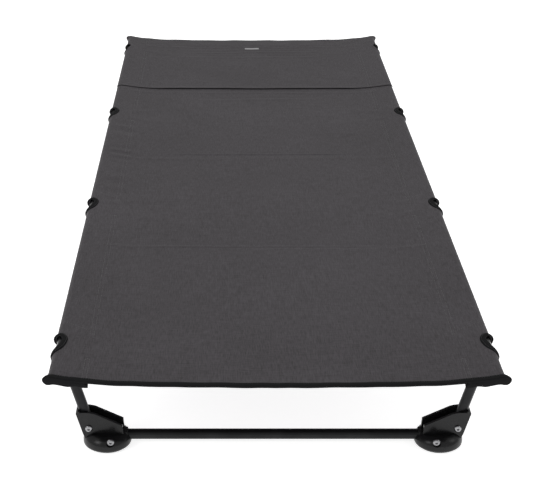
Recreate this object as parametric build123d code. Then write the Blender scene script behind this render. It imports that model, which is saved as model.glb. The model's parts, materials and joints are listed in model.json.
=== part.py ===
from build123d import *
import math
import os

# Folding camp cot. Frame: origin on the floor at the centre of the cot, +Z up, +Y from the foot end
# to the head end, +X to the right when looking along +Y. All sizes are in millimetres.

# Overall
LENGTH = 1900.0           # fabric, foot end to head end
POLE_X = 314.0            # side pole axis, from the centreline
POLE_Z = 161.0            # side pole axis, above the floor
BOW_SPACING = 560.0       # between the four leg bows
BOW_COUNT = 4

# Tubes
TUBE_R = 8.0
TUBE_WALL = 1.2
CROSSBAR_Z = 15.0
CROSSBAR_HALF = 258.0
POLE_SECTIONS = 4
SECTION_GAP = 0.2         # between two plugged tubes
POLE_GAP_AT_END = 24.0    # between the last tube and the closed sleeve end
CAP_LENGTH = 4.0
CAP_PLUG = 18.0
CAP_BORE = 19.5           # for the end of the cord, from the plug's own end
FERRULE_LENGTH = 80.0
FERRULE_WALL = 0.8
CORD_R = 1.5

# Foot bracket
FOOT_X = 250.5
FOOT_R = 36.5
FOOT_TOP = 23.5
FOOT_BASE = 1.5           # underside of the moulding, the pad stands proud of it
FOOT_LIP = 4.0            # rolled edge round the underside
FOOT_FLARE = 5.5          # height of the widest ring above the underside
FOOT_SHOULDER = 11.5      # from the widest ring in to the flat top
PAD_R = 32.0
PAD_THICK = 3.0
PAD_RINGS = (12.0, 19.0, 26.0)
PAD_RING_DEPTH = 0.8
PLATE_OUTER_Y = 13.5
GROOVE_HALF = 8.5
GROOVE_FLOOR = 24.0
BRACKET_TOP = 57.0
BOSS_R = 11.0
BOSS_END_X = 219.0
SOCKET_GAP = 1.0          # past the end of the crossbar
SWING_GAP = 0.4           # round the foot of the leg as it folds

# Leg
PIVOT_X = 277.0
PIVOT_Z = 32.0
LEG_FOOT_END = 8.0        # tube below the pivot
LEG_TUBE_TOP = 112.0      # tube above the pivot
SADDLE_HALF_Y = 13.0
SADDLE_INNER = 11.8
SADDLE_WALL_TOP = 128.1
SADDLE_PLUG = 24.0
SEAT_GAP = 0.3            # between the saddle and the sleeve it carries
STOP_GAP = 0.3            # between the leg and the web that it rests on
WEB_THICK = 3.0

# Fasteners
BOLT_R = 3.0
BOLT_CLEARANCE = 0.05
HEAD_R = 5.6
HEAD_HEIGHT = 3.2
SOCKET_FLATS = 4.0
NUT_FLATS = 10.0
NUT_HEIGHT = 5.0
CROSS_BOLT_X = 243.5
CROSS_BOLT_Z = 18.5
CROSS_BOLT_SEAT = 31.0
SPOT_R = 6.6

# Fabric
CLOTH = 1.2
SLEEVE_GAP = 0.3
PANEL_Z = 161.4           # middle of the cloth between the sleeves
SEAM_X = 266.0            # where the two layers of a sleeve are sewn together
SEAM_Z = 163.4
PANEL_FLAT_X = 236.0
HEM_TAPE = 12.0
TAPE_THICK = 1.0
LAYER_GAP = 0.1
WINDOW_DEPTH = 11.0
WINDOW_HALF = 28.0
WINDOW_TAPE = 8.0
UNDER_GAP_HALF = 40.0
POCKET_MOUTH_Y = 490.0
LABEL_Y = 856.0

UP = (Align.CENTER, Align.CENTER, Align.MIN)
LEAN = math.atan2(POLE_X - PIVOT_X, POLE_Z - PIVOT_Z)
LEG_REACH = math.hypot(POLE_X - PIVOT_X, POLE_Z - PIVOT_Z)
SEAT_R = TUBE_R + SLEEVE_GAP
SLEEVE_R = SEAT_R + CLOTH
BOW_Y = [BOW_SPACING * (k - (BOW_COUNT - 1) / 2) for k in range(BOW_COUNT)]
SHEET_HALF = LENGTH / 2 - TAPE_THICK - LAYER_GAP

# The leg's own axes on the right-hand side: x outward, y along the cot, z up the leg from its pivot.
LEG_PLANE = Plane(
    origin=(PIVOT_X, 0, PIVOT_Z),
    x_dir=(math.cos(LEAN), 0, -math.sin(LEAN)),
    z_dir=(math.sin(LEAN), 0, math.cos(LEAN)),
)


def leg_point(outward, along):
    """A point given in the leg's own axes, as x and z of the cot."""
    x = PIVOT_X + outward * math.cos(LEAN) + along * math.sin(LEAN)
    z = PIVOT_Z - outward * math.sin(LEAN) + along * math.cos(LEAN)
    return x, z


def face_xz(*points):
    """A flat face in the XZ plane through the given x, z points."""
    corners = [(x, 0, z) for x, z in points]
    return make_face(Polyline(*corners, close=True))


def face_from(curves):
    """A flat face inside a closed loop of lines and arcs."""
    return make_face([edge for curve in curves for edge in curve.edges()])


def slab(face, low_y, high_y):
    """A face of the XZ plane extruded from low_y to high_y."""
    return Pos(0, low_y, 0) * extrude(face, high_y - low_y, dir=(0, 1, 0))


def rod(radius, length, x=0.0, z=0.0):
    """A round rod along Y, centred on y = 0."""
    return Pos(x, 0, z) * Rot(90, 0, 0) * Cylinder(radius, length)


def tube(radius, wall, length):
    return Cylinder(radius, length) - Cylinder(radius - wall, length)


def left_of(shape):
    return mirror(shape, about=Plane.YZ)


# ---- Leg bows -----------------------------------------------------------------------------------


def crossbar():
    bar = Rot(0, 90, 0) * tube(TUBE_R, TUBE_WALL, 2 * CROSSBAR_HALF)
    bar = Pos(0, 0, CROSSBAR_Z) * bar
    for side in (-1, 1):
        bar -= rod(BOLT_R + BOLT_CLEARANCE, 4 * TUBE_R, side * CROSS_BOLT_X, CROSS_BOLT_Z)
    return bar


def foot_body():
    """The round flared foot, with a flat underside and a rolled shoulder."""
    underside = (FOOT_R - FOOT_LIP, 0, FOOT_BASE)
    widest = (FOOT_R, 0, FOOT_BASE + FOOT_FLARE)
    top_edge = (FOOT_R - FOOT_SHOULDER, 0, FOOT_TOP)
    outline = [
        Line((0, 0, FOOT_BASE), underside),
        ThreePointArc(underside, (FOOT_R - 0.9, 0, FOOT_BASE + 2.2), widest),
        ThreePointArc(widest, (FOOT_R - 2.7, 0, 17.0), top_edge),
        Line(top_edge, (0, 0, FOOT_TOP)),
        Line((0, 0, FOOT_TOP), (0, 0, FOOT_BASE)),
    ]
    body = revolve(face_from(outline), axis=Axis.Z)
    recess = Cylinder(PAD_R + LAYER_GAP, PAD_THICK, align=UP)
    return Pos(FOOT_X, 0, 0) * (body - recess)


def bracket_outline():
    """Side view of the two plates that hold the leg."""
    web_out = TUBE_R + STOP_GAP + WEB_THICK
    top_along = (BRACKET_TOP - PIVOT_Z + web_out * math.sin(LEAN)) / math.cos(LEAN)
    top_outer = leg_point(web_out, top_along)
    low_outer = leg_point(web_out, -6.0)
    knee = (FOOT_X + 17.0, BRACKET_TOP - 1.0)
    nose = (FOOT_X - 24.0, 36.0)
    edges = [
        Line((low_outer[0], 0, low_outer[1]), (top_outer[0], 0, top_outer[1])),
        ThreePointArc(
            (top_outer[0], 0, top_outer[1]),
            ((top_outer[0] + knee[0]) / 2, 0, BRACKET_TOP + 1.5),
            (knee[0], 0, knee[1]),
        ),
        Polyline(
            (knee[0], 0, knee[1]),
            (nose[0], 0, nose[1]),
            (nose[0] - 1.5, 0, 20.0),
            (nose[0] + 1.5, 0, 12.0),
            (FOOT_X + 31.0, 0, 12.0),
            (low_outer[0], 0, low_outer[1]),
        ),
    ]
    return face_from(edges)


def foot_bracket():
    bracket = foot_body() + slab(bracket_outline(), -PLATE_OUTER_Y, PLATE_OUTER_Y)
    boss_length = FOOT_X - BOSS_END_X
    boss = Cylinder(BOSS_R, boss_length, align=UP)
    boss = fillet(boss.edges().filter_by(GeomType.CIRCLE).sort_by(Axis.Z)[-1], 2.0)
    bracket += Pos(FOOT_X, 0, CROSSBAR_Z) * Rot(0, -90, 0) * boss
    stop = TUBE_R + STOP_GAP
    floor_along = (GROOVE_FLOOR - PIVOT_Z + stop * math.sin(LEAN)) / math.cos(LEAN)
    top = leg_point(stop, 2 * BRACKET_TOP / 3)
    groove = face_xz(
        leg_point(stop, floor_along),
        top,
        (FOOT_X - 2 * FOOT_R, top[1]),
        (FOOT_X - 2 * FOOT_R, GROOVE_FLOOR),
    )
    bracket -= slab(groove, -GROOVE_HALF, GROOVE_HALF)
    swing = math.hypot(LEG_FOOT_END, TUBE_R) + SWING_GAP
    bracket -= rod(swing, 2 * GROOVE_HALF, PIVOT_X, PIVOT_Z)
    bracket -= rod(BOLT_R + BOLT_CLEARANCE, 4 * PLATE_OUTER_Y, PIVOT_X, PIVOT_Z)
    socket_end = CROSSBAR_HALF + SOCKET_GAP
    socket_length = socket_end - (FOOT_X - FOOT_R) + FOOT_LIP + SOCKET_GAP
    socket = Cylinder(TUBE_R + BOLT_CLEARANCE, socket_length, align=UP)
    bracket -= Pos(socket_end, 0, CROSSBAR_Z) * Rot(0, -90, 0) * socket
    bracket -= rod(BOLT_R + BOLT_CLEARANCE, 3 * FOOT_R, CROSS_BOLT_X, CROSS_BOLT_Z)
    for side in (-1, 1):
        spot = rod(SPOT_R, FOOT_R, CROSS_BOLT_X, CROSS_BOLT_Z)
        bracket -= Pos(0, side * (CROSS_BOLT_SEAT + FOOT_R / 2), 0) * spot
    return bracket


def foot_pad():
    pad = Cylinder(PAD_R, PAD_THICK, align=UP)
    rim = pad.edges().filter_by(GeomType.CIRCLE).sort_by(Axis.Z)[0]
    pad = fillet(rim, 1.0)
    for ring in PAD_RINGS:
        inner = Cylinder(ring - 1.0, PAD_RING_DEPTH, align=UP)
        pad -= Cylinder(ring + 1.0, PAD_RING_DEPTH, align=UP) - inner
    return Pos(FOOT_X, 0, 0) * pad


def leg_tube():
    length = LEG_TUBE_TOP + LEG_FOOT_END
    body = Pos(0, 0, length / 2 - LEG_FOOT_END) * tube(TUBE_R, TUBE_WALL, length)
    body -= rod(BOLT_R + BOLT_CLEARANCE, 4 * TUBE_R)
    return LEG_PLANE * body


def leg_saddle():
    """The moulded end of a leg: a plug in the tube and a low seat with one wall, inside the pole."""
    plug_r = TUBE_R - TUBE_WALL - BOLT_CLEARANCE
    plug = Pos(0, 0, LEG_TUBE_TOP - SADDLE_PLUG) * Cylinder(plug_r, SADDLE_PLUG + 0.5, align=UP)
    seat_top = LEG_REACH - SEAT_R - SEAT_GAP
    side_view = face_xz(
        (TUBE_R, LEG_TUBE_TOP),
        (TUBE_R, seat_top),
        (0.0, seat_top),
        (-4.0, SADDLE_WALL_TOP),
        (-SADDLE_INNER, SADDLE_WALL_TOP),
        (-SADDLE_INNER, LEG_TUBE_TOP + 7.0),
        (-TUBE_R, LEG_TUBE_TOP),
    )
    seat = slab(side_view, -SADDLE_HALF_Y, SADDLE_HALF_Y)
    width = TUBE_R + SADDLE_INNER
    plan = RectangleRounded(width, 2 * SADDLE_HALF_Y, 4.0)
    envelope = extrude(plan, 2 * LEG_REACH)
    seat &= Pos((TUBE_R - SADDLE_INNER) / 2, 0, 0) * envelope
    seat -= rod(SEAT_R, 4 * SADDLE_HALF_Y, 0, LEG_REACH)
    return LEG_PLANE * (plug + seat)


def bolt(grip, seat_y, x, z):
    """A button-head bolt along +Y whose head sits in front of seat_y."""
    head = Cylinder(HEAD_R, HEAD_HEIGHT, align=UP)
    crown = head.edges().filter_by(GeomType.CIRCLE).sort_by(Axis.Z)[-1]
    head = fillet(crown, HEAD_HEIGHT - 0.7)
    recess = extrude(RegularPolygon(SOCKET_FLATS / 2, 6, major_radius=False), HEAD_HEIGHT)
    head -= Pos(0, 0, 1.0) * recess
    shank = Pos(0, 0, -grip) * Cylinder(BOLT_R, grip, align=UP)
    return Pos(x, seat_y, z) * Rot(90, 0, 0) * (head + shank)


def nut(seat_y, x, z):
    """A hexagon nut whose inner face is at seat_y, with the thread left as a plain hole."""
    body = extrude(RegularPolygon(NUT_FLATS / 2, 6, major_radius=False), NUT_HEIGHT)
    body &= Pos(0, 0, -1.2) * Cone(NUT_FLATS, NUT_FLATS / 2 - 0.6, 2.2 * NUT_HEIGHT, align=UP)
    body -= Cylinder(BOLT_R + BOLT_CLEARANCE, 4 * NUT_HEIGHT)
    return Pos(x, seat_y, z) * Rot(-90, 0, 0) * body


# ---- Side poles ---------------------------------------------------------------------------------

POLE_HALF = SHEET_HALF - POLE_GAP_AT_END
SECTION_LENGTH = 2 * POLE_HALF / POLE_SECTIONS


def along_pole(shape, y):
    """A shape made along Z, laid along Y on the right-hand pole's axis."""
    return Pos(POLE_X, y, POLE_Z) * Rot(-90, 0, 0) * shape


def pole_section(index):
    centre = -POLE_HALF + (index + 0.5) * SECTION_LENGTH
    return along_pole(tube(TUBE_R, TUBE_WALL, SECTION_LENGTH - SECTION_GAP), centre)


def pole_ferrules():
    radius = TUBE_R - TUBE_WALL - BOLT_CLEARANCE
    ferrule = tube(radius, FERRULE_WALL, FERRULE_LENGTH)
    joints = [-POLE_HALF + k * SECTION_LENGTH for k in range(1, POLE_SECTIONS)]
    return [along_pole(ferrule, y) for y in joints]


def pole_end_cap():
    """A domed cap plugged in the end of a pole, made along Z and drilled for the cord."""
    dome = Cylinder(TUBE_R, CAP_LENGTH, align=UP)
    crown = dome.edges().filter_by(GeomType.CIRCLE).sort_by(Axis.Z)[-1]
    dome = fillet(crown, 2.5)
    plug_r = TUBE_R - TUBE_WALL - BOLT_CLEARANCE
    plug = Pos(0, 0, -CAP_PLUG) * Cylinder(plug_r, CAP_PLUG, align=UP)
    bore = Pos(0, 0, -CAP_PLUG) * Cylinder(CORD_R + BOLT_CLEARANCE, CAP_BORE, align=UP)
    return dome + plug - bore


def pole_caps():
    cap = pole_end_cap()
    head = Pos(POLE_X, POLE_HALF, POLE_Z) * Rot(-90, 0, 0) * cap
    foot = Pos(POLE_X, -POLE_HALF, POLE_Z) * Rot(90, 0, 0) * cap
    return [foot, head]


def pole_cord():
    return along_pole(Cylinder(CORD_R, 2 * POLE_HALF + 2.0), 0)


# ---- Fabric -------------------------------------------------------------------------------------


def teardrop(radius, tip_x, tip_z):
    """The section round a pole that narrows to a tip on its inner side."""
    dx, dz = tip_x - POLE_X, tip_z - POLE_Z
    distance = math.hypot(dx, dz)
    heading = math.atan2(dz, dx)
    spread = math.acos(radius / distance)
    touch = [
        (
            POLE_X + radius * math.cos(heading + turn),
            POLE_Z + radius * math.sin(heading + turn),
        )
        for turn in (-spread, spread)
    ]
    circle = Rot(90, 0, 0) * Circle(radius)
    return Pos(POLE_X, 0, POLE_Z) * circle + face_xz(touch[0], (tip_x, tip_z), touch[1])


def sheet_outline(grow=0.0):
    """The whole cross-section of the bed, sleeves filled in, grown by a given amount."""
    half = CLOTH / 2 + grow
    sleeve = teardrop(SLEEVE_R + grow, SEAM_X - 4.0, SEAM_Z)
    panel = face_xz(
        (SEAM_X + 8.0, SEAM_Z + 1.0 + half),
        (PANEL_FLAT_X, PANEL_Z + half),
        (-PANEL_FLAT_X, PANEL_Z + half),
        (-SEAM_X - 8.0, SEAM_Z + 1.0 + half),
        (-SEAM_X - 8.0, SEAM_Z + 0.2 - half),
        (-PANEL_FLAT_X, PANEL_Z - half),
        (PANEL_FLAT_X, PANEL_Z - half),
        (SEAM_X + 8.0, SEAM_Z + 0.2 - half),
    )
    return panel + sleeve + left_of(sleeve)


def sleeve_hollow():
    hollow = teardrop(SEAT_R, SEAM_X + 5.0, SEAM_Z)
    return hollow + left_of(hollow)


def window_prism(depth, half, y):
    """An upright prism with a half-moon plan, on the outer edge of the right-hand sleeve."""
    plan = Ellipse(depth, half)
    return Pos(POLE_X + SLEEVE_R, y, POLE_Z - 40.0) * extrude(plan, 80.0)


def under_gap(y):
    """Where the lower layer of the right-hand sleeve is left open for a leg."""
    lower = face_xz(
        (POLE_X + 2 * SLEEVE_R, POLE_Z - 3.0),
        (POLE_X, POLE_Z - 3.0),
        (SEAM_X + 4.0, SEAM_Z - 0.3),
        (SEAM_X - 5.0, SEAM_Z - 4.0),
        (SEAM_X - 5.0, POLE_Z - 30.0),
        (POLE_X + 2 * SLEEVE_R, POLE_Z - 30.0),
    )
    return slab(lower, y - UNDER_GAP_HALF, y + UNDER_GAP_HALF)


def bed_sheet():
    sheet = slab(sheet_outline() - sleeve_hollow(), -SHEET_HALF, SHEET_HALF)
    for y in BOW_Y:
        for cut in (window_prism(WINDOW_DEPTH, WINDOW_HALF, y), under_gap(y)):
            sheet -= cut
            sheet -= left_of(cut)
    return sheet


def hem_binding():
    """The tape folded over the foot end, which also closes both sleeves."""
    end = -LENGTH / 2
    tape = slab(sheet_outline(LAYER_GAP + TAPE_THICK), end, end + HEM_TAPE)
    return tape - slab(sheet_outline(LAYER_GAP), end + TAPE_THICK, end + 2 * HEM_TAPE)


def window_binding(y):
    """The tape round one window, on the upper side of the sleeve."""
    ring = window_prism(WINDOW_DEPTH + WINDOW_TAPE, WINDOW_HALF + WINDOW_TAPE, y)
    ring -= window_prism(WINDOW_DEPTH, WINDOW_HALF, y)
    skin = sheet_outline(LAYER_GAP + TAPE_THICK) - sheet_outline(LAYER_GAP)
    upper = face_xz(
        (POLE_X - 40.0, POLE_Z + 3.2),
        (POLE_X + 30.0, POLE_Z - 2.0),
        (POLE_X + 30.0, POLE_Z + 30.0),
        (POLE_X - 40.0, POLE_Z + 30.0),
    )
    reach = WINDOW_HALF + WINDOW_TAPE + 5.0
    return slab(skin & upper, y - reach, y + reach) & ring


def pillow_pocket():
    """The second layer at the head end, open towards the foot."""
    skin = sheet_outline(LAYER_GAP + TAPE_THICK) - sheet_outline(LAYER_GAP)
    side = POLE_X + 4.0
    upper = face_xz(
        (-side, POLE_Z + 4.0),
        (-SEAM_X - 4.0, SEAM_Z + 0.2),
        (-PANEL_FLAT_X, PANEL_Z),
        (PANEL_FLAT_X, PANEL_Z),
        (SEAM_X + 4.0, SEAM_Z + 0.2),
        (side, POLE_Z + 4.0),
        (side, POLE_Z + 30.0),
        (-side, POLE_Z + 30.0),
    )
    layer = slab(skin & upper, POCKET_MOUTH_Y, LENGTH / 2 - HEM_TAPE - LAYER_GAP)
    margin = WINDOW_TAPE + 0.3
    cut = window_prism(WINDOW_DEPTH + margin, WINDOW_HALF + margin, BOW_Y[-1])
    return layer - cut - left_of(cut)


def woven_label():
    plan = RectangleRounded(36.0, 12.0, 1.0)
    height = PANEL_Z + CLOTH / 2 + 2 * LAYER_GAP + TAPE_THICK
    return Pos(0, LABEL_Y, height) * extrude(plan, 0.5)


# ---- Nodes --------------------------------------------------------------------------------------


def save(name, *solids):
    pieces = [piece for shape in solids for piece in shape.solids()]
    shape = pieces[0] if len(pieces) == 1 else Compound(children=pieces)
    export_step(shape, os.path.join("parts", name + ".step"))


def both_sides(shapes):
    return [piece for shape in shapes for piece in (shape, left_of(shape))]


def at_every_bow(shapes):
    return [Pos(0, y, 0) * shape for y in BOW_Y for shape in shapes]


def main():
    os.makedirs("parts", exist_ok=True)
    bracket, leg, saddle, pad = foot_bracket(), leg_tube(), leg_saddle(), foot_pad()
    bar = crossbar()
    for number, y in enumerate(BOW_Y, start=1):
        place = Pos(0, y, 0)
        save(f"crossbar_{number}", place * bar)
        save(f"foot_pads_{number}", *[place * piece for piece in both_sides([pad])])
        for side, turn in (("right", lambda shape: shape), ("left", left_of)):
            save(f"foot_bracket_{side}_{number}", place * turn(bracket))
            save(f"leg_tube_{side}_{number}", place * turn(leg))
            save(f"leg_saddle_{side}_{number}", place * turn(saddle))

    pivot_grip = 2 * PLATE_OUTER_Y + NUT_HEIGHT + 1.0
    pivot_bolt = bolt(pivot_grip, -PLATE_OUTER_Y, PIVOT_X, PIVOT_Z)
    cross_grip = 2 * CROSS_BOLT_SEAT + NUT_HEIGHT + 1.0
    cross_bolt = bolt(cross_grip, -CROSS_BOLT_SEAT, CROSS_BOLT_X, CROSS_BOLT_Z)
    save("pivot_bolts", *at_every_bow(both_sides([pivot_bolt])))
    save("crossbar_bolts", *at_every_bow(both_sides([cross_bolt])))
    pivot_nut = nut(PLATE_OUTER_Y, PIVOT_X, PIVOT_Z)
    cross_nut = nut(CROSS_BOLT_SEAT, CROSS_BOLT_X, CROSS_BOLT_Z)
    save("pivot_nuts", *at_every_bow(both_sides([pivot_nut])))
    save("crossbar_nuts", *at_every_bow(both_sides([cross_nut])))

    for side, turn in (("right", lambda shape: shape), ("left", left_of)):
        for index in range(POLE_SECTIONS):
            save(f"pole_{side}_section_{index + 1}", turn(pole_section(index)))
        save(f"pole_ferrules_{side}", *[turn(piece) for piece in pole_ferrules()])
        save(f"pole_cord_{side}", turn(pole_cord()))
    save("pole_end_caps", *both_sides(pole_caps()))

    foot_binding = hem_binding()
    save("bed_sheet", bed_sheet())
    save("foot_binding", foot_binding)
    save("head_binding", mirror(foot_binding, about=Plane.XZ))
    save("window_bindings", *both_sides([window_binding(y) for y in BOW_Y]))
    save("pillow_pocket", pillow_pocket())
    save("woven_label", woven_label())


main()
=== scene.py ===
import json
import math
import random

import bmesh
import bpy
import numpy as np
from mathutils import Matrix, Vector


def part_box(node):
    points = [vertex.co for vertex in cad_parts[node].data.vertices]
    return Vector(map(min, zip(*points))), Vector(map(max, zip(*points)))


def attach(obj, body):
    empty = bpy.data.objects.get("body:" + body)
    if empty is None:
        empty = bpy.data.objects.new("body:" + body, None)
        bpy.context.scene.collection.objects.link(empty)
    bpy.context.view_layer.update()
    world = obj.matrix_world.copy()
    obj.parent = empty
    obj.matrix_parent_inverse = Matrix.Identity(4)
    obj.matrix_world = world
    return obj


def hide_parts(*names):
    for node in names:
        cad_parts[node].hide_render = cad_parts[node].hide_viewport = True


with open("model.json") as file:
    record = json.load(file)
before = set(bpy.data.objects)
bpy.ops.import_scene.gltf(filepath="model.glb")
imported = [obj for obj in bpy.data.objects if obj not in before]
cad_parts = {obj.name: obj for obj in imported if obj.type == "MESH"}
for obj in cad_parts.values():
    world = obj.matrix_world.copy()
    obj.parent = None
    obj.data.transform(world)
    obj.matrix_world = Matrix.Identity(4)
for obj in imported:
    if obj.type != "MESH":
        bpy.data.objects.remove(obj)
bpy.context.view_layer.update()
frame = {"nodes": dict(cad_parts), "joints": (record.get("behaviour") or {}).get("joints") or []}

MM = 0.001
NODES = frame["nodes"]

# ---- Places read from the frame ------------------------------------------------------------------

pole_low, pole_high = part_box("pole_right_section_1")
POLE_X = (pole_high.x + pole_low.x) / 2
POLE_Z = (pole_high.z + pole_low.z) / 2
sheet_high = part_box("bed_sheet")[1]
HALF_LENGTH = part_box("head_binding")[1].y
POCKET_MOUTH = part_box("pillow_pocket")[0].y
CAP_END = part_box("pole_end_caps")[1].y
BOW_Y = sorted({j["pos_m"][1] for j in frame["joints"] if j["type"] == "hinge"})
LABEL_LOW, LABEL_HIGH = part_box("woven_label")
SECTION_JOINTS = [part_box(f"pole_right_section_{k}")[1].y for k in (1, 2, 3)]

# ---- Camera and light ----------------------------------------------------------------------------

camera_data = bpy.data.cameras.new("camera")
camera_data.sensor_width = 36.0
camera_data.lens = 95.0
camera_data.shift_x = 0.0835
camera = bpy.data.objects.new("camera", camera_data)
camera.location = (-0.077, -2.693, 1.107)
camera.rotation_euler = (math.radians(67.25), 0.0, 0.0)
bpy.context.scene.collection.objects.link(camera)
bpy.context.scene.camera = camera


def add_light(name, size, power, place, aim):
    data = bpy.data.lights.new(name, "AREA")
    data.shape = "RECTANGLE"
    data.size, data.size_y = size
    data.energy = power
    light = bpy.data.objects.new(name, data)
    light.location = place
    light.rotation_euler = (Vector(aim) - Vector(place)).to_track_quat("-Z", "Y").to_euler()
    bpy.context.scene.collection.objects.link(light)


def add_studio():
    world = bpy.data.worlds.new("studio")
    world.use_nodes = True
    background = world.node_tree.nodes["Background"]
    background.inputs["Color"].default_value = (1.0, 1.0, 1.0, 1.0)
    background.inputs["Strength"].default_value = 0.55
    bpy.context.scene.world = world
    bpy.context.scene.view_settings.view_transform = "Standard"
    add_light("top_softbox", (1.8, 2.2), 11.5, (0.0, 0.25, 2.3), (0.0, 0.15, 0.0))
    add_light("left_key", (0.8, 1.0), 8.0, (-1.7, -2.0, 1.5), (0.0, -0.7, 0.1))
    add_light("right_fill", (0.8, 1.0), 3.0, (2.2, -1.2, 1.5), (0.0, -0.3, 0.1))


# ---- Materials -----------------------------------------------------------------------------------


class Shader:
    """A Principled material and short ways to add the nodes that feed it."""

    def __init__(self, name, color, roughness, **sockets):
        self.material = bpy.data.materials.new(name)
        self.material.use_nodes = True
        self.tree = self.material.node_tree
        self.base = self.tree.nodes["Principled BSDF"]
        self.base.inputs["Base Color"].default_value = (*color, 1.0)
        self.base.inputs["Roughness"].default_value = roughness
        for socket, value in sockets.items():
            self.base.inputs[socket.replace("_", " ")].default_value = value
        self.place = self.tree.nodes.new("ShaderNodeTexCoord").outputs["Object"]

    def node(self, kind, **inputs):
        node = self.tree.nodes.new(kind)
        for key, value in inputs.items():
            socket = node.inputs[key.replace("_", " ")]
            if isinstance(value, bpy.types.NodeSocket):
                self.tree.links.new(value, socket)
            else:
                socket.default_value = value
        return node

    def stretched(self, scale):
        mapping = self.node("ShaderNodeMapping", Vector=self.place)
        mapping.inputs["Scale"].default_value = scale
        return mapping.outputs["Vector"]

    def noise(self, scale, detail=4.0, stretch=(1.0, 1.0, 1.0), roughness=0.55):
        node = self.node("ShaderNodeTexNoise", Scale=scale, Detail=detail, Roughness=roughness)
        self.tree.links.new(self.stretched(stretch), node.inputs["Vector"])
        return node.outputs["Fac"]

    def waves(self, pitch, axis, distortion=0.0):
        """Bands across an axis, one band for each pitch in metres."""
        node = self.node("ShaderNodeTexWave", Scale=math.tau / (20.0 * pitch))
        node.bands_direction = axis
        node.inputs["Distortion"].default_value = distortion
        self.tree.links.new(self.place, node.inputs["Vector"])
        return node.outputs["Fac"]

    def math(self, operation, first, second):
        node = self.tree.nodes.new("ShaderNodeMath")
        node.operation = operation
        for socket, value in zip(node.inputs, (first, second)):
            if isinstance(value, bpy.types.NodeSocket):
                self.tree.links.new(value, socket)
            else:
                socket.default_value = value
        return node.outputs["Value"]

    def ramp(self, source, low, high):
        """The source spread from 0 at low to 1 at high."""
        node = self.node("ShaderNodeMapRange", Value=source, From_Min=low, From_Max=high)
        return node.outputs["Result"]

    def blend_color(self, factor, first, second):
        node = self.tree.nodes.new("ShaderNodeMix")
        node.data_type = "RGBA"
        self.tree.links.new(factor, node.inputs["Factor"])
        for socket, value in ((node.inputs[6], first), (node.inputs[7], second)):
            if isinstance(value, bpy.types.NodeSocket):
                self.tree.links.new(value, socket)
            else:
                socket.default_value = (*value, 1.0)
        return node.outputs[2]

    def color(self, source):
        self.tree.links.new(source, self.base.inputs["Base Color"])

    def roughness(self, source, low, high):
        node = self.node("ShaderNodeMapRange", Value=source, To_Min=low, To_Max=high)
        self.tree.links.new(node.outputs["Result"], self.base.inputs["Roughness"])

    def bump(self, height, strength, distance, under=None):
        node = self.node("ShaderNodeBump", Strength=strength, Distance=distance, Height=height)
        if under is not None:
            self.tree.links.new(under, node.inputs["Normal"])
        self.tree.links.new(node.outputs["Normal"], self.base.inputs["Normal"])
        return node.outputs["Normal"]


def cloth_material(name, color, thread_pitch):
    """Plain-woven coated polyester: mottled yarns along the cot, a fine weave and soft sheen."""
    shader = Shader(name, color, 0.72, Sheen_Weight=0.05, Sheen_Roughness=0.5)
    shader.base.inputs["Specular IOR Level"].default_value = 0.2
    light = tuple(min(1.0, c * 1.52) for c in color)
    dark = tuple(c * share for c, share in zip(color, (0.64, 0.62, 0.60)))
    yarns = shader.noise(900.0, 2.0, (1.0, 0.07, 1.0))
    cross_yarns = shader.noise(900.0, 2.0, (0.07, 1.0, 1.0))
    clouds = shader.noise(5.0, 3.0)
    mottle = shader.math("MULTIPLY", yarns, 0.5)
    mottle = shader.math("ADD", mottle, shader.math("MULTIPLY", cross_yarns, 0.38))
    mottle = shader.math("ADD", mottle, shader.math("MULTIPLY", clouds, 0.12))
    shader.color(shader.blend_color(shader.ramp(mottle, 0.36, 0.64), dark, light))
    warp = shader.waves(thread_pitch, "X")
    weft = shader.waves(thread_pitch, "Y")
    weave = shader.math("MULTIPLY", warp, weft)
    under = shader.bump(weave, 0.35, 0.22 * MM)
    shader.bump(yarns, 0.25, 0.3 * MM, under)
    shader.roughness(mottle, 0.66, 0.84)
    return shader.material


def tape_material(name, color):
    """Ribbed binding tape."""
    shader = Shader(name, color, 0.62)
    shader.base.inputs["Specular IOR Level"].default_value = 0.12
    ribs = shader.waves(1.1 * MM, "DIAGONAL", distortion=0.4)
    fuzz = shader.noise(900.0, 3.0)
    light = tuple(min(1.0, c * 1.6) for c in color)
    shader.color(shader.blend_color(shader.ramp(fuzz, 0.3, 0.75), color, light))
    under = shader.bump(ribs, 0.5, 0.2 * MM)
    shader.bump(fuzz, 0.3, 0.2 * MM, under)
    shader.roughness(fuzz, 0.7, 0.9)
    return shader.material


def tube_material(name, dark, light, metallic, gloss, specular):
    """Black tube with faint drawing lines and slight rub marks."""
    shader = Shader(name, dark, gloss, Metallic=metallic)
    shader.base.inputs["Specular IOR Level"].default_value = specular
    cloud = shader.noise(38.0, 5.0)
    lines = shader.noise(600.0, 2.0, (0.05, 0.05, 0.05))
    scuffs = shader.ramp(shader.noise(130.0, 8.0, roughness=0.7), 0.66, 0.74)
    mixed = shader.blend_color(shader.ramp(cloud, 0.35, 0.7), dark, light)
    rubbed = tuple(2.0 * c for c in light)
    shader.color(shader.blend_color(scuffs, mixed, rubbed))
    shader.roughness(cloud, gloss * 0.85, gloss * 1.25)
    shader.bump(lines, 0.12, 0.1 * MM)
    return shader.material


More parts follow.
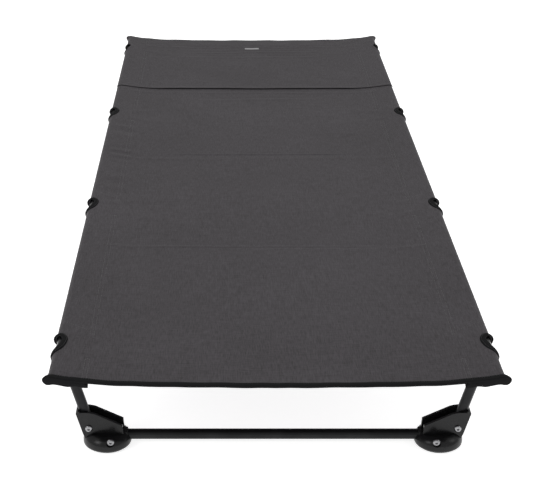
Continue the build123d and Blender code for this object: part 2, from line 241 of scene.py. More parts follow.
def moulding_material():
    """Black glass-filled nylon with a fine moulded grain."""
    shader = Shader("black_moulding", (0.006, 0.006, 0.0065), 0.34)
    shader.base.inputs["Specular IOR Level"].default_value = 0.3
    grain = shader.noise(1700.0, 4.0)
    flow = shader.noise(60.0, 4.0)
    dark, light = (0.005, 0.005, 0.0055), (0.009, 0.009, 0.0095)
    shader.color(shader.blend_color(shader.ramp(flow, 0.3, 0.75), dark, light))
    shader.roughness(flow, 0.2, 0.31)
    shader.bump(grain, 0.22, 0.12 * MM)
    return shader.material


def rubber_material():
    shader = Shader("pad_rubber", (0.016, 0.016, 0.016), 0.8)
    speck = shader.noise(1200.0, 4.0)
    dark, light = (0.012, 0.012, 0.012), (0.03, 0.03, 0.029)
    shader.color(shader.blend_color(shader.ramp(speck, 0.35, 0.7), dark, light))
    shader.bump(speck, 0.4, 0.2 * MM)
    return shader.material


def steel_material(name, color, roughness):
    """Plated steel with turned marks and small stains."""
    shader = Shader(name, color, roughness, Metallic=1.0)
    stain = shader.noise(260.0, 5.0)
    dull = tuple(c * 0.72 for c in color)
    shader.color(shader.blend_color(shader.ramp(stain, 0.35, 0.7), dull, color))
    shader.roughness(stain, roughness * 0.8, roughness * 1.5)
    shader.bump(shader.noise(2200.0, 3.0), 0.15, 0.08 * MM)
    return shader.material


def cord_material():
    shader = Shader("cord_braid", (0.03, 0.03, 0.031), 0.75)
    braid = shader.waves(1.2 * MM, "DIAGONAL", distortion=1.0)
    shader.color(shader.blend_color(braid, (0.018, 0.018, 0.019), (0.07, 0.07, 0.07)))
    shader.bump(braid, 0.5, 0.3 * MM)
    return shader.material


def thread_material(name, color):
    shader = Shader(name, color, 0.6, Sheen_Weight=0.1)
    twist = shader.waves(0.5 * MM, "DIAGONAL")
    dark = tuple(c * 0.7 for c in color)
    shader.color(shader.blend_color(twist, dark, color))
    shader.bump(twist, 0.5, 0.1 * MM)
    return shader.material


CLOTH = cloth_material("bed_cloth", (0.0545, 0.0500, 0.0553), 0.85 * MM)
TAPE = tape_material("binding_tape", (0.0055, 0.0055, 0.006))
TUBE = tube_material("black_tube", (0.017, 0.017, 0.018), (0.025, 0.025, 0.026), 0.8, 0.31, 0.3)
# The poles are the same black tube as the legs, but get a darker copy of its colour: painted shade for the
# parts seen inside the windows, under the sleeve.
SHADED_POLE_TUBE = tube_material("pole_tube_painted_shade", (0.004, 0.004, 0.0045), (0.007, 0.007, 0.0075), 0.0, 0.24, 0.18)
MOULDING = moulding_material()
RUBBER = rubber_material()
STEEL = steel_material("bright_steel", (0.36, 0.36, 0.37), 0.2)
ALUMINIUM = steel_material("bare_aluminium", (0.78, 0.78, 0.80), 0.35)
CORD = cord_material()
THREAD = thread_material("seam_thread", (0.125, 0.122, 0.122))
DARK_THREAD = thread_material("tape_thread", (0.022, 0.022, 0.023))
LABEL = cloth_material("label_cloth", (0.36, 0.36, 0.37), 0.6 * MM)


def finish_cad_nodes():
    """Gives every carried-over CAD node its material."""
    rules = [
        (("pivot_", "crossbar_bolts", "crossbar_nuts"), STEEL),
        (("foot_bracket", "leg_saddle", "pole_end_caps"), MOULDING),
        (("foot_pads",), RUBBER),
        (("pole_ferrules",), ALUMINIUM),
        (("pole_cord",), CORD),
        (("crossbar_", "leg_tube"), TUBE),
        (("pole_left", "pole_right"), SHADED_POLE_TUBE),
    ]
    for name, node in NODES.items():
        for starts, material in rules:
            if name.startswith(starts):
                for slot in node.material_slots:
                    slot.material = material
                if not node.material_slots:
                    node.data.materials.append(material)
                break


# ---- The bed's cross-section ---------------------------------------------------------------------

CLOTH_THICK = 1.0 * MM
SLEEVE_R = (sheet_high.z - POLE_Z) - CLOTH_THICK / 2
EDGE_X = POLE_X + SLEEVE_R
SEAM_X = EDGE_X - 57.0 * MM
PANEL_FLAT_X = 225.0 * MM
PANEL_Z = POLE_Z + 0.3 * MM
TOP_TURN = math.radians(98.0)
UNDER_TURN = math.radians(-97.0)
WINDOW_TOP = 15.5 * MM       # reach of a window from the fold, over the top of the sleeve
WINDOW_UNDER = 57.0 * MM     # and underneath it
WINDOW_DEEPEST = 8.5 * MM    # the deepest point lies this far past the leg, towards the head
WINDOW_FAR = 16.5 * MM       # from the deepest point to the far end, at the fold
WINDOW_NEAR = 37.0 * MM      # and to the near end
WINDOW_SHIFTS = [0.0, 5.0 * MM, 7.0 * MM, -2.0 * MM]     # from each bow, foot end first
WINDOW_Y = [bow + shift for bow, shift in zip(BOW_Y, WINDOW_SHIFTS)]
FLATTEN_FROM = min(CAP_END + 1.0 * MM, HALF_LENGTH - 20.0 * MM)
END_Y = HALF_LENGTH - 1.6 * MM


def section_table():
    """Dense points of the right half of the section: arc length, x, z, from the centre outward."""
    x_top = POLE_X + SLEEVE_R * math.cos(TOP_TURN)
    z_top = POLE_Z + SLEEVE_R * math.sin(TOP_TURN)
    rise = np.linspace(0.0, 1.0, 240)
    xs = [np.linspace(0.0, PANEL_FLAT_X, 60, endpoint=False)]
    zs = [np.full(60, PANEL_Z)]
    xs.append(PANEL_FLAT_X + (x_top - PANEL_FLAT_X) * rise)
    zs.append(PANEL_Z + (z_top - PANEL_Z) * rise**1.47)
    turn = np.linspace(TOP_TURN, UNDER_TURN, 160)[1:]
    xs.append(POLE_X + SLEEVE_R * np.cos(turn))
    zs.append(POLE_Z + SLEEVE_R * np.sin(turn))
    low_x, low_z = xs[-1][-1], zs[-1][-1]
    seam_z = float(np.interp(SEAM_X, xs[1], zs[1])) - 1.4 * MM
    back = np.linspace(0.0, 1.0, 80)[1:]
    xs.append(low_x + (SEAM_X - low_x) * back)
    zs.append(low_z + (seam_z - low_z) * back**0.92)
    x, z = np.concatenate(xs), np.concatenate(zs)
    length = np.concatenate([[0.0], np.cumsum(np.hypot(np.diff(x), np.diff(z)))])
    return length, x, z


SECTION_S, SECTION_X, SECTION_Z = section_table()
S_END = SECTION_S[-1]
FOLD_S = float(SECTION_S[np.argmax(SECTION_X)])
TOP_COUNT = int(np.argmax(SECTION_X)) + 1


def s_at_x(x):
    """Arc length along the upper layer at a distance x from the centreline."""
    return float(np.interp(x, SECTION_X[:TOP_COUNT], SECTION_S[:TOP_COUNT]))


SEAM_LINES = [s_at_x(EDGE_X - 48.5 * MM), s_at_x(EDGE_X - 54.5 * MM)]      # the outer row first


def smooth(value, low, high):
    t = np.clip((value - low) / (high - low), 0.0, 1.0)
    return t * t * (3.0 - 2.0 * t)


def bell(value, centre, width):
    return np.exp(-(((value - centre) / width) ** 2))


def ripple(x, y, seed, wavelength_x, wavelength_y, terms=7):
    """Smooth repeatable waviness, from -1 to 1, as a sum of slanted waves."""
    rng = random.Random(seed)
    total = np.zeros(np.broadcast(x, y).shape)
    for _ in range(terms):
        ax = rng.uniform(0.5, 1.5) * rng.choice((-1, 1)) / wavelength_x
        ay = rng.uniform(0.5, 1.5) / wavelength_y
        total = total + np.sin(math.tau * (ax * x + ay * y) + rng.uniform(0.0, math.tau))
    return total / terms


LONG_CREASES = (
    # place along the cot, reach each way from the centreline, height
    (0.862, 0.27, 1.3 * MM),
    (0.815, 0.20, 1.0 * MM),
    (0.772, 0.23, 0.8 * MM),
    (0.455, 0.22, 0.9 * MM),
    (0.405, 0.16, 0.8 * MM),
)


SHARP_CREASES = ((-0.458, 0.24), (0.027, 0.20))      # place along the cot, reach each way


JOINT_RIDGE, JOINT_DIP = 0.55 * MM, 0.30 * MM        # over the joints of the poles
LEG_FOLD = 0.6 * MM          # slanting in from each leg
SHARP_HEIGHT = 0.6 * MM      # of the sharp creases
HEAD_RIPPLE, FOOT_RIPPLE = 0.9 * MM, 0.55 * MM
BROAD_RIPPLE, FINE_RIPPLE = 0.65 * MM, 0.16 * MM
GATHER, GATHER_PITCH = 1.0 * MM, 43.0 * MM
FOOT_SAG, HEAD_SAG, BETWEEN_SAG = 5.2 * MM, 3.6 * MM, 1.2 * MM


def fold_field(x, y):
    """Small tension folds and packing creases of the bed, as heights in metres."""
    side = np.abs(x)
    height = np.zeros(np.broadcast(x, y).shape)
    for joint in SECTION_JOINTS:
        wander = joint + 3.0 * MM * np.sin(x * 9.0 + joint * 5.0)
        height = height + JOINT_RIDGE * bell(y, wander, 7.0 * MM) * (1 - 0.5 * bell(side, 0.0, 0.1))
        height = height - JOINT_DIP * bell(y, wander + 13.0 * MM, 9.0 * MM)
    for bow in BOW_Y:
        reach = smooth(side, 0.10, SEAM_X)
        for slant, gain in ((-1.0, 0.8), (1.0, 0.7)):
            line = bow + slant * (26.0 * MM + (SEAM_X - side) * 0.33)
            width = 9.0 * MM + (SEAM_X - side) * 0.08
            height = height + gain * LEG_FOLD * reach * bell(y, line, width)
    for centre, reach in SHARP_CREASES:
        line = centre + 1.0 * MM * np.sin(x * 9.0)
        fade = 1 - smooth(side, reach * 0.6, reach)
        dip = 0.8 * bell(y, line - 5.0 * MM, 4.0 * MM)
        height = height + SHARP_HEIGHT * fade * (bell(y, line, 2.6 * MM) - dip)
    for centre, reach, depth in LONG_CREASES:
        wander = centre + 6.0 * MM * np.sin(x * 7.0 + centre * 31.0)
        wander = wander + 2.0 * MM * np.sin(x * 31.0 + centre * 17.0)
        fade = 1 - smooth(side, reach * 0.4, reach)
        dip = 0.7 * bell(y, wander + 12.0 * MM, 7.0 * MM)
        height = height + depth * fade * (bell(y, wander, 6.0 * MM) - dip)
    head = smooth(y, HALF_LENGTH - 0.16, HALF_LENGTH - 0.03)
    height = height + HEAD_RIPPLE * head * ripple(x, y, 4, 0.10, 0.055)
    foot = 1 - smooth(y, -HALF_LENGTH, -HALF_LENGTH + 0.09)
    height = height + FOOT_RIPPLE * foot * ripple(x, y, 9, 0.08, 0.05)
    height = height + BROAD_RIPPLE * ripple(x, y, 12, 0.33, 0.42)
    height = height + FINE_RIPPLE * ripple(x, y, 21, 0.045, 0.06)
    return height


def gather_field(x, y):
    """Small gathers across the left sleeve, between its two middle windows."""
    across = smooth(-x, SEAM_X - 10.0 * MM, SEAM_X + 4.0 * MM)
    across = across * (1 - smooth(-x, POLE_X - 16.0 * MM, POLE_X - 2.0 * MM))
    along = smooth(y, -0.28, -0.20) * (1 - smooth(y, 0.20, 0.26))
    gather = np.sin(y * math.tau / GATHER_PITCH + 18.0 * x + 2.2 * np.sin(y * 23.0))
    return GATHER * across * along * gather * (0.6 + 0.4 * np.sin(y * 41.0 + 1.0))


def sag_field(x, y):
    """The slow droop of the panel, most at the open ends."""
    across = np.clip(1 - (x / SEAM_X) ** 2, 0.0, None)
    foot = bell(y, -HALF_LENGTH, 0.16)
    head = bell(y, HALF_LENGTH, 0.16)
    between = np.zeros(np.broadcast(x, y).shape)
    for first, second in zip(BOW_Y, BOW_Y[1:]):
        between = between + bell(y, (first + second) / 2, 0.17)
    return -across * (FOOT_SAG * foot + HEAD_SAG * head + BETWEEN_SAG * between)


WINDOW_QUARTERS = {
    # part of the window: (centre along y, reach from the fold, reach along y, roundness)
    "top_far": (WINDOW_DEEPEST, WINDOW_TOP, WINDOW_FAR, 2.0),
    "top_near": (WINDOW_DEEPEST, WINDOW_TOP, WINDOW_NEAR, 1.7),
    "under": (
        WINDOW_DEEPEST + (WINDOW_FAR - WINDOW_NEAR) / 2,
        WINDOW_UNDER,
        (WINDOW_FAR + WINDOW_NEAR) / 2,
        4.0,
    ),
}


def window_distance(q, y):
    """0 at the centre of the nearest window, 1 on its edge. q is measured inward from the fold."""
    best = np.full(np.broadcast(q, y).shape, 9.0)
    for bow in WINDOW_Y:
        level = np.zeros(best.shape)
        for part, (centre, depth, length, power) in WINDOW_QUARTERS.items():
            dy = y - bow - centre
            here = (q <= 0) if part == "under" else (q > 0) & ((dy >= 0) == (part == "top_far"))
            shape = (np.abs(q / depth) ** power + np.abs(dy / length) ** power) ** (1 / power)
            level = np.where(here, shape, level)
        best = np.minimum(best, level)
    return best


def window_edge(count, low=0.0, high=1.0):
    """Evenly spaced points of a window's edge, as q and y from the leg, from the near end over the
    top to the far end and back underneath, with the direction that leads away from the hole."""
    loop = []
    for part, start, stop in (("top_near", -90, 0), ("top_far", 0, 90), ("under", 90, 270)):
        centre, depth, length, power = WINDOW_QUARTERS[part]
        for degrees in np.arange(start, stop, 0.5):
            c, s = math.cos(math.radians(degrees)), math.sin(math.radians(degrees))
            q = math.copysign(abs(c) ** (2 / power), c) * depth
            loop.append((q, centre + math.copysign(abs(s) ** (2 / power), s) * length))
    loop = np.array(loop + loop[:1])
    gone = np.concatenate([[0.0], np.cumsum(np.hypot(*np.diff(loop, axis=0).T))])
    places = np.linspace(low, high, count, endpoint=high < 1.0) * gone[-1]
    near = [
        np.interp((places + step) % gone[-1], gone, loop[:, i])
        for step in (-1.5 * MM, 1.5 * MM)
        for i in (0, 1)
    ]
    q, y = np.interp(places, gone, loop[:, 0]), np.interp(places, gone, loop[:, 1])
    way_q, way_y = near[3] - near[1], near[0] - near[2]
    size = np.hypot(way_q, way_y)
    return q, y, way_q / size, way_y / size


END_SQUEEZE, EDGE_RELIEF = 0.54, 0.10        # height lost at the ends, and how much less at the edge
UNDER_DROP = 7.5 * MM        # of the lower layer at the ends
END_WIDENING = 5.5 * MM      # of the flattened sleeves
EDGE_RISE, SEAM_DROP = 5.6 * MM, 0.8 * MM        # of the ends
WINDOW_LIFT = 1.4 * MM       # of the cloth round a window
SLEEVE_FOLD = 0.35 * MM
SEAM_DIP, SEAM_WIDTH = 0.35 * MM, 1.8 * MM
PUCKER, PUCKER_PITCH = 0.22 * MM, 11.0 * MM


def end_amount(y):
    return smooth(np.abs(y), FLATTEN_FROM, END_Y)


def bed_point(s, y, offset=0.0):
    """Points of the bed at signed arc length s from the centreline and y, raised by offset."""
    s, y = np.broadcast_arrays(np.asarray(s, float), np.asarray(y, float))
    side = np.where(s < 0, -1.0, 1.0)
    along = np.abs(s)
    x = np.interp(along, SECTION_S, SECTION_X)
    z = np.interp(along, SECTION_S, SECTION_Z)
    step = 1.0 * MM
    dx = np.interp(along + step, SECTION_S, SECTION_X) - np.interp(along - step, SECTION_S, SECTION_X)
    dz = np.interp(along + step, SECTION_S, SECTION_Z) - np.interp(along - step, SECTION_S, SECTION_Z)
    size = np.maximum(np.hypot(dx, dz), 1e-9)
    nx, nz = -dz / size, dx / size
    end = end_amount(y)
    outer = np.clip((x - SEAM_X) / (EDGE_X - SEAM_X), 0.0, 1.0)
    middle = PANEL_Z + 2.0 * MM * (1 - outer)
    flat = 1 - (END_SQUEEZE - EDGE_RELIEF * outer) * end * smooth(outer, 0.0, 0.25)
    q = FOLD_S - along
    under = smooth(-q, 0.0, 14.0 * MM)
    z = middle + (z - middle) * flat - end * under * (1 - outer) * UNDER_DROP
    x = x + end * outer * END_WIDENING
    rise = EDGE_RISE * outer**1.3 - SEAM_DROP
    z = z + end * rise * smooth(along, s_at_x(0.20), s_at_x(SEAM_X))
    near = window_distance(q, y)
    round_pole = smooth(x, POLE_X - 26.0 * MM, POLE_X - 8.0 * MM) * (1 - end)
    lift = WINDOW_LIFT * (1 - smooth(near, 1.0, 1.6)) * round_pole
    sleeve_folds = np.abs(SLEEVE_FOLD * ripple(s, y, 33, 0.05, 0.07) * round_pole)
    total = offset + lift + sleeve_folds
    x, z = x + nx * total, z + nz * total
    panel = 1 - smooth(x, SEAM_X - 4.0 * MM, POLE_X - 12.0 * MM)
    top = np.where(q > 0, 1.0, 0.25)
    z = z + (fold_field(side * x, y) * top + sag_field(side * x, y)) * panel
    z = z + gather_field(side * x, y) * np.where(q > 0, 1.0, 0.0)
    pucker = PUCKER * np.sin(y * math.tau / PUCKER_PITCH + 3.0 * np.sin(y * 31.0))
    for line in SEAM_LINES:
        z = z - (SEAM_DIP + pucker) * bell(along, line, SEAM_WIDTH)
    return np.stack([side * x, y, z], axis=-1)


# ---- Mesh building -------------------------------------------------------------------------------


def make_object(name, points, faces, material, smooth_shading=True):
    mesh = bpy.data.meshes.new(name)
    mesh.from_pydata([tuple(p) for p in points], [], faces)
    mesh.validate()
    mesh.update()
    if smooth_shading:
        mesh.polygons.foreach_set("use_smooth", [True] * len(mesh.polygons))
    mesh.materials.append(material)
    obj = bpy.data.objects.new(name, mesh)
    bpy.context.scene.collection.objects.link(obj)
    return obj


def outward(obj):
    """Turns the faces of a closed mesh outward."""
    bm = bmesh.new()
    bm.from_mesh(obj.data)
    bmesh.ops.recalc_face_normals(bm, faces=bm.faces)
    bm.to_mesh(obj.data)
    bm.free()


def grid_faces(rows, columns, closed=False):
    faces = []
    last = columns if closed else columns - 1
    for r in range(rows - 1):
        for c in range(last):
            n = (c + 1) % columns
            faces.append((r * columns + c, r * columns + n, (r + 1) * columns + n, (r + 1) * columns + c))
    return faces


def thicken(obj, thickness):
    solid = obj.modifiers.new("thickness", "SOLIDIFY")
    solid.thickness = thickness
    solid.offset = 0.0
    solid.use_even_offset = True


def spaced(low, high, step):
    return np.linspace(low, high, max(2, int(round((high - low) / step)) + 1))


NEAR_WINDOW, NEAR_END, NEAR_CREASE = 58.0 * MM, 45.0 * MM, 12.0 * MM
FINE_ROW, COARSE_ROW, POCKET_ROW = 3.2 * MM, 6.5 * MM, 6.0 * MM
POCKET_THICK, LABEL_THICK = 0.9 * MM, 0.5 * MM


def y_rows(low, high, fine, coarse):
    """Rows along the cot, closer together at the windows, the ends and the sharp creases."""
    rows, y = [low], low
    while y < high - 1e-6:
        close = min(abs(y - bow) for bow in BOW_Y) < NEAR_WINDOW
        close = close or HALF_LENGTH - abs(y) < NEAR_END
        crease = min(abs(y - centre) for centre, _ in SHARP_CREASES) < NEAR_CREASE
        y += fine / 2 if crease else fine if close else coarse
        rows.append(min(y, high))
    return np.array(rows)


def cloth_patch(name, s_values, y_values, offset, margin, material):
    """A sheet of cloth over the grid of s and y, with the windows cut out of it.

    The windows are cut at margin times their own size."""
    s_grid, y_grid = np.meshgrid(s_values, y_values)
    q = FOLD_S - np.abs(s_grid)
    near = window_distance(q, y_grid)
    inside = near < margin
    columns = len(s_values)
    faces = [
        face
        for face in grid_faces(len(y_values), columns)
        if not all(inside.flat[i] for i in face)
    ]
    nearest = np.array(WINDOW_Y)[np.argmin(np.abs(y_grid[..., None] - np.array(WINDOW_Y)), axis=-1)]
    nearest = nearest + np.where(q > 0, WINDOW_DEEPEST, WINDOW_QUARTERS["under"][0])
    grow = np.where(inside, margin / np.maximum(near, 0.05), 1.0)
    q_new = q * grow
    y_new = nearest + (y_grid - nearest) * grow
    s_new = np.where(s_grid < 0, -1.0, 1.0) * (FOLD_S - q_new)
    points = bed_point(s_new, y_new, offset(s_new, y_new)).reshape(-1, 3)
    used = sorted({i for face in faces for i in face})
    index = {old: new for new, old in enumerate(used)}
    faces = [tuple(index[i] for i in face) for face in faces]
    return make_object(name, points[used], faces, material)


def s_columns():
    """Columns across the cloth, closest round the poles."""
    middle = spaced(0.0, s_at_x(0.235), 9.0 * MM)
    slope = spaced(s_at_x(0.235), SEAM_LINES[1] - 5.0 * MM, 5.0 * MM)[1:]
    seams = spaced(SEAM_LINES[1] - 5.0 * MM, SEAM_LINES[0] + 5.0 * MM, 1.3 * MM)[1:]
    top = spaced(SEAM_LINES[0] + 5.0 * MM, FOLD_S - 26.0 * MM, 3.5 * MM)[1:]
    fold = spaced(FOLD_S - 26.0 * MM, FOLD_S + 16.0 * MM, 1.9 * MM)[1:]
    under = spaced(FOLD_S + 16.0 * MM, S_END, 4.0 * MM)[1:]
    half = np.concatenate([middle, slope, seams, top, fold, under])
    return np.concatenate([-half[:0:-1], half])


def build_bed():
    rows = y_rows(-END_Y, END_Y, FINE_ROW, COARSE_ROW)
    bed = cloth_patch("bed_cloth", s_columns(), rows, lambda s, y: 0.0 * s, 1.0, CLOTH)
    thicken(bed, CLOTH_THICK)
    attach(bed, "deck")
    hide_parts("bed_sheet")


def pocket_offset(s, y):
    """How far the pocket layer stands off the bed, most at its mouth."""
    mouth = bell(y, POCKET_MOUTH, 16.0 * MM)
    middle = 1 - smooth(np.abs(s), 0.20, 0.27)
    hem = 1 - smooth(y, POCKET_MOUTH + 11.0 * MM, POCKET_MOUTH + 12.5 * MM)
    slack = 0.5 * MM * (1 + ripple(s, y, 55, 0.16, 0.12)) * middle
    return 1.25 * MM + mouth * (0.3 + 0.8 * middle) * MM + slack + 0.35 * MM * hem


def build_pocket():
    reach = FOLD_S - 4.0 * MM
    columns = s_columns()
    columns = columns[np.abs(columns) < reach]
    top = HALF_LENGTH - 7.0 * MM
    hem_end = POCKET_MOUTH + 16.0 * MM
    hem = spaced(POCKET_MOUTH, hem_end, 1.6 * MM)[:-1]
    rows = np.concatenate([hem, y_rows(hem_end, top, FINE_ROW, POCKET_ROW)])
    pocket = cloth_patch("pocket_cloth", columns, rows, pocket_offset, 1.02, CLOTH)
    thicken(pocket, POCKET_THICK)
    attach(pocket, "deck")
    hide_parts("pillow_pocket")


# ---- Tapes ---------------------------------------------------------------------------------------

TAPE_THICK = 0.9 * MM
WINDOW_TAPE = 8.0 * MM
END_TAPE_WIDTH = 9.0 * MM
LOWER_CRUMPLE, UPPER_CRUMPLE = 3.6 * MM, 0.5 * MM        # of the end tapes, at the sleeves


def window_tape(name, bow, side):
    """The tape folded over the edge of one window, as a closed U-shaped band."""
    count = 120
    rng = random.Random(f"{bow:.2f}{side}")
    phase = rng.uniform(0.0, math.tau)
    outer, inner = CLOTH_THICK / 2 + TAPE_THICK, CLOTH_THICK / 2
    rows = []
    for k, (q_edge, y_edge, q_way, y_way) in enumerate(zip(*window_edge(count))):
        turn = math.tau * k / count
        width = WINDOW_TAPE * (1.0 + 0.05 * math.sin(3 * turn + phase))
        fold = max(0.0, 1 - abs(q_edge) / (15.0 * MM))
        flare = (2.4 if y_edge > 0 else 1.2) * MM * fold
        # round the band: distance from the hole's edge into the cloth, height over the cloth's middle
        profile = [
            (width, outer - 0.3 * MM), (width * 0.5, outer), (0.6 * MM, outer),
            (-0.9 * MM, outer * 0.55), (-0.9 * MM, -outer * 0.55), (0.6 * MM, -outer),
            (width * 0.5, -outer), (width, -outer + 0.3 * MM), (width, -inner),
            (0.7 * MM, -inner), (0.7 * MM, inner), (width, inner),
        ]
        away = np.array([p[0] for p in profile])
        raised = np.array([p[1] for p in profile])
        lift = flare * (1 - smooth(away, 0.0, width * 1.1))
        s = side * (FOLD_S - (q_edge + q_way * away))
        rows.append(bed_point(s, bow + y_edge + y_way * away, raised + lift))
    ring = len(rows[0])
    faces = grid_faces(count, ring, closed=True)
    last = (count - 1) * ring
    faces += [(last + c, last + (c + 1) % ring, (c + 1) % ring, c) for c in range(ring)]
    tape = make_object(name, np.concatenate(rows), faces, TAPE)
    outward(tape)
    return tape


def build_window_tapes():
    for number, bow in enumerate(WINDOW_Y, start=1):
        for label, side in (("left", -1.0), ("right", 1.0)):
            tape = window_tape(f"window_tape_{label}_{number}", bow, side)
            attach(tape, "deck")
            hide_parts("window_bindings")


def hem_outline():
    """Arc lengths along the upper skin out to the fold, and along the lower skin back to the seam."""
    top_s = np.concatenate([spaced(0.0, s_at_x(0.25), 7.0 * MM), spaced(s_at_x(0.25), FOLD_S, 2.2 * MM)[1:]])
    under_s = spaced(FOLD_S, S_END, 2.2 * MM)[1:]
    return top_s, under_s


def end_tape(name, end):
    """The tape over one end, which also shuts the flattened sleeves. end is -1 or 1."""
    rng_seed = 70 if end < 0 else 80
    width = END_TAPE_WIDTH
    # distance of each row from the tip, and its height over the cloth
    depths = [width, width - 0.4 * MM, 6.0 * MM, 3.0 * MM, 1.2 * MM, 0.35 * MM, 0.0]
    skins = [0.2 * MM, 1.25 * MM, 1.35 * MM, 1.4 * MM, 1.3 * MM, 0.9 * MM, 0.0]
    caps = [0.86, 0.5, 0.0]      # how open each row over the tip is
    top_s, under_s = hem_outline()
    tip = HALF_LENGTH + 0.2 * MM
    rows = []
    for depth, skin in zip(depths, skins):
        y = end * (tip - depth)
        ys = np.clip(np.abs(y), 0, END_Y) * end
        top = bed_point(top_s, ys, skin)
        under = bed_point(under_s, ys, skin)
        panel_s = top_s[::-1][top_s[::-1] < SEAM_LINES[1] - 1.0 * MM]
        panel = bed_point(panel_s, ys, -skin - 2.0 * MM)
        row = np.concatenate([top, under, panel])
        row[:, 1] = y
        rows.append(row)
    half_ring = len(rows[0])
    count_top = len(top_s)
    crumple = ripple(rows[0][:, 0], 0.0 * rows[0][:, 0], rng_seed, 0.024, 1.0)
    sleeve = smooth(rows[0][:, 0], SEAM_X - 10.0 * MM, SEAM_X + 12.0 * MM)
    lower = np.arange(half_ring) >= count_top
    for depth, row in zip(depths, rows):
        row[:, 2] += np.where(lower, LOWER_CRUMPLE, UPPER_CRUMPLE) * crumple * sleeve
        wave = ripple(row[:, 0], row[:, 2], rng_seed + 1, 0.06, 0.02)
        row[:, 1] += end * 0.7 * MM * wave * smooth(np.array(depth), 6.0 * MM, 0.0)
    nose = rows[-1]
    top_x, top_z = nose[:count_top, 0], nose[:count_top, 2]
    low_x, low_z = nose[count_top:, 0][::-1], nose[count_top:, 2][::-1]
    order = np.argsort(low_x)
    mid_z = (np.interp(nose[:, 0], top_x, top_z) + np.interp(nose[:, 0], low_x[order], low_z[order])) / 2
    for share in caps:
        cap = nose.copy()
        cap[:, 2] = mid_z + (nose[:, 2] - mid_z) * share
        cap[:, 1] = nose[:, 1] + end * 0.25 * MM * (1 - share)
        rows.append(cap)
    points, ring = [], 2 * half_ring
    for row in rows:
        mirrored = row[::-1] * np.array([-1.0, 1.0, 1.0])
        points.extend(np.concatenate([row, mirrored]))
    faces = grid_faces(len(rows), ring, closed=True)
    tape = make_object(name, points, faces, TAPE)
    bm = bmesh.new()
    bm.from_mesh(tape.data)
    bmesh.ops.remove_doubles(bm, verts=bm.verts, dist=0.02 * MM)
    bmesh.ops.recalc_face_normals(bm, faces=bm.faces)
    bm.to_mesh(tape.data)
    bm.free()
    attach(tape, "deck")
    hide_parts("foot_binding" if end < 0 else "head_binding")


# ---- Stitching -----------------------------------------------------------------------------------


def stitch_mesh(name, runs, material, length=2.3 * MM, width=0.62 * MM, height=0.34 * MM):
    """One mesh of separate stitches. Each run is a list of (centre, direction, normal)."""
    points, faces = [], []
    sides = 6
    for run in runs:
        for centre, way, normal in run:
            centre, way, normal = Vector(centre), Vector(way).normalized(), Vector(normal).normalized()
            across = way.cross(normal)
            start = len(points)
            for along, girth in ((-0.5, 0.0), (-0.32, 1.0), (0.32, 1.0), (0.5, 0.0)):
                if girth == 0.0:
                    points.append(centre + way * along * length - normal * height * 0.5)
                    continue
                for k in range(sides):
                    turn = math.tau * k / sides
                    shift = across * math.cos(turn) * width / 2 + normal * math.sin(turn) * height
                    points.append(centre + way * along * length + shift)
            first, second = start + 1, start + 1 + sides
            end = start + 1 + 2 * sides
            for k in range(sides):
                n = (k + 1) % sides
                faces.append((start, first + n, first + k))
                faces.append((first + k, first + n, second + n, second + k))
                faces.append((second + k, second + n, end))
    stitches = make_object(name, points, faces, material)
    outward(stitches)
    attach(stitches, "deck")
    return stitches


SUNK_STITCH = 0.22 * MM      # the deepest that a stitch pulls into the cloth
STITCH_PITCH = 3.4 * MM
PROBE = 0.5 * MM             # how far off the surface its normal is measured
HALF_STEP = 0.6 * MM         # each way along the path, for a stitch's direction


def run_on_bed(s_path, y_path, offset, pitch=STITCH_PITCH):
    """Evenly spaced stitches along a path over the bed's surface."""
    line = bed_point(s_path, y_path, offset)
    above = bed_point(s_path, y_path, offset + PROBE)
    gone = np.concatenate([[0.0], np.cumsum(np.linalg.norm(np.diff(line, axis=0), axis=1))])
    places = np.arange(pitch / 2, gone[-1], pitch)
    rng = random.Random(len(places) * 1000 + round(abs(float(line[0, 0])) * 10000))
    run = []
    for place in places:
        sunk = rng.uniform(0.0, SUNK_STITCH)
        spot = [np.interp(place, gone, line[:, i]) for i in range(3)]
        ahead = [np.interp(min(place + HALF_STEP, gone[-1]), gone, line[:, i]) for i in range(3)]
        behind = [np.interp(max(place - HALF_STEP, 0.0), gone, line[:, i]) for i in range(3)]
        up = [np.interp(place, gone, above[:, i]) - np.interp(place, gone, line[:, i]) for i in range(3)]
        spot = [a - b * sunk / PROBE for a, b in zip(spot, up)]
        run.append((spot, [a - b for a, b in zip(ahead, behind)], up))
    return run


def build_seams():
    """The two rows of stitches along each sleeve, with a gap and bars at each window."""
    runs = []
    surface = CLOTH_THICK / 2
    gap_near, gap_far = 43.0 * MM, 37.0 * MM
    stops = [-HALF_LENGTH + 3.0 * MM]
    for bow in BOW_Y:
        stops += [bow - gap_near, bow + gap_far]
    stops.append(HALF_LENGTH - 3.0 * MM)
    for side in (-1.0, 1.0):
        for line in SEAM_LINES:
            for low, high in zip(stops[::2], stops[1::2]):
                for start, stop in split_run(low, high):
                    y = spaced(start, stop, 4.0 * MM)
                    s = np.full(len(y), side * line)
                    runs.append(run_on_bed(s, y, surface + seam_lift(y)))
        for bow in BOW_Y:
            for y_bar in (bow - gap_near, bow + gap_far):
                s = np.linspace(SEAM_LINES[1] - 1.0 * MM, SEAM_LINES[0] + 1.0 * MM, 12) * side
                lift = surface + seam_lift(np.array([y_bar]))[0]
                for shift in (-0.5, 0.5):
                    y = np.full(12, y_bar + shift * MM)
                    runs.append(run_on_bed(s, y, lift, 2.6 * MM))
            s = np.linspace(SEAM_LINES[0] + 2.0 * MM, FOLD_S - 2.0 * MM, 16) * side
            y = bow + np.linspace(48.0 * MM, 73.0 * MM, 16)
            runs.append(run_on_bed(s, y, surface + seam_lift(y)))
    seams = stitch_mesh("seam_stitches", runs, THREAD)


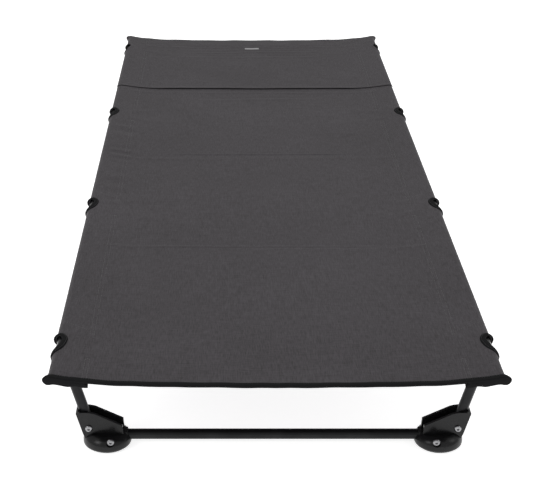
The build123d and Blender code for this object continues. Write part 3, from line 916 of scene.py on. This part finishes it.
def split_run(low, high):
    """A seam broken where it climbs onto the pocket or the end tape."""
    marks = [-HALF_LENGTH + 9.5 * MM, POCKET_MOUTH, HALF_LENGTH - 9.5 * MM]
    marks = [low] + [m for m in marks if low < m < high] + [high]
    return [(a + 0.4 * MM, b - 0.4 * MM) for a, b in zip(marks, marks[1:])]


def seam_lift(y):
    """What lies over the bed along the seams: the pocket layer or the end tape."""
    y = np.asarray(y, float)
    seam = np.full(y.shape, SEAM_LINES[0])
    pocket = np.where(y > POCKET_MOUTH, pocket_offset(seam, y) - 0.05 * MM, 0.0)
    tape = np.where(HALF_LENGTH - np.abs(y) < 9.0 * MM, 1.0 * MM, 0.0)
    return np.where(tape > 0, np.maximum(tape, 0.9 * MM), pocket)


def build_hem_stitches():
    """Stitches of the pocket's hem, and the dark ones of the tapes."""
    reach = FOLD_S - 9.0 * MM
    s = spaced(-reach, reach, 4.0 * MM)
    hem = []
    for distance in (2.2 * MM, 9.8 * MM):
        y = np.full(len(s), POCKET_MOUTH + distance)
        hem.append(run_on_bed(s, y, pocket_offset(s, y) + 0.5 * MM))
    hem_stitches = stitch_mesh("pocket_hem_stitches", hem, THREAD)
    tape_runs = []
    for end in (-1.0, 1.0):
        y = np.full(len(s), end * (HALF_LENGTH - 6.8 * MM))
        tape_runs.append(run_on_bed(s, y, 1.3 * MM))
    for bow in WINDOW_Y:
        for side in (-1.0, 1.0):
            q, y, q_way, y_way = window_edge(60, 0.01, 0.36)
            q, y = q + q_way * 5.6 * MM, bow + y + y_way * 5.6 * MM
            over = q > 3.0 * MM
            lift = CLOTH_THICK / 2 + TAPE_THICK - 0.05 * MM
            tape_runs.append(run_on_bed(side * (FOLD_S - q[over]), y[over], lift, 3.0 * MM))
    tape_stitches = stitch_mesh("tape_stitches", tape_runs, DARK_THREAD)


# ---- Label ---------------------------------------------------------------------------------------


def build_label():
    """A plain woven tab, pressed down along its rim."""
    low, high = LABEL_LOW, LABEL_HIGH
    xs = spaced(low.x, high.x, 1.5 * MM)
    ys = spaced(low.y, high.y, 1.5 * MM)
    grid_x, grid_y = np.meshgrid(xs, ys)
    lift = pocket_offset(grid_x, grid_y) + 0.75 * MM
    to_side = np.minimum(grid_x - low.x, high.x - grid_x)
    rim = np.minimum(to_side, np.minimum(grid_y - low.y, high.y - grid_y))
    lift = lift - 0.3 * MM * (1 - smooth(rim, 0.0, 1.6 * MM))
    points = bed_point(grid_x, grid_y, lift).reshape(-1, 3)
    label = make_object("label", points, grid_faces(len(ys), len(xs)), LABEL)
    thicken(label, LABEL_THICK)
    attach(label, "deck")
    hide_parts("woven_label")


# ---- Floor ---------------------------------------------------------------------------------------


def build_floor():
    shader = Shader("floor", (0.92, 0.92, 0.92), 0.9)
    shader.base.inputs["Specular IOR Level"].default_value = 0.0
    shader.base.inputs["Emission Color"].default_value = (1.0, 1.0, 1.0, 1.0)
    shader.base.inputs["Emission Strength"].default_value = 0.8
    cloud = shader.noise(3.0, 2.0)
    shader.color(shader.blend_color(cloud, (0.91, 0.91, 0.91), (0.94, 0.94, 0.94)))
    size = 30.0
    below_pads = 0.4 * MM
    corners = [(-size, -size, 0), (size, -size, 0), (size, size, 0), (-size, size, 0)]
    floor = make_object("floor", corners, [(0, 1, 2, 3)], shader.material, False)
    floor.location.z = -below_pads


add_studio()
build_floor()
finish_cad_nodes()
build_bed()
build_pocket()
build_window_tapes()
end_tape("foot_tape", -1.0)
end_tape("head_tape", 1.0)
build_seams()
build_hem_stitches()
build_label()
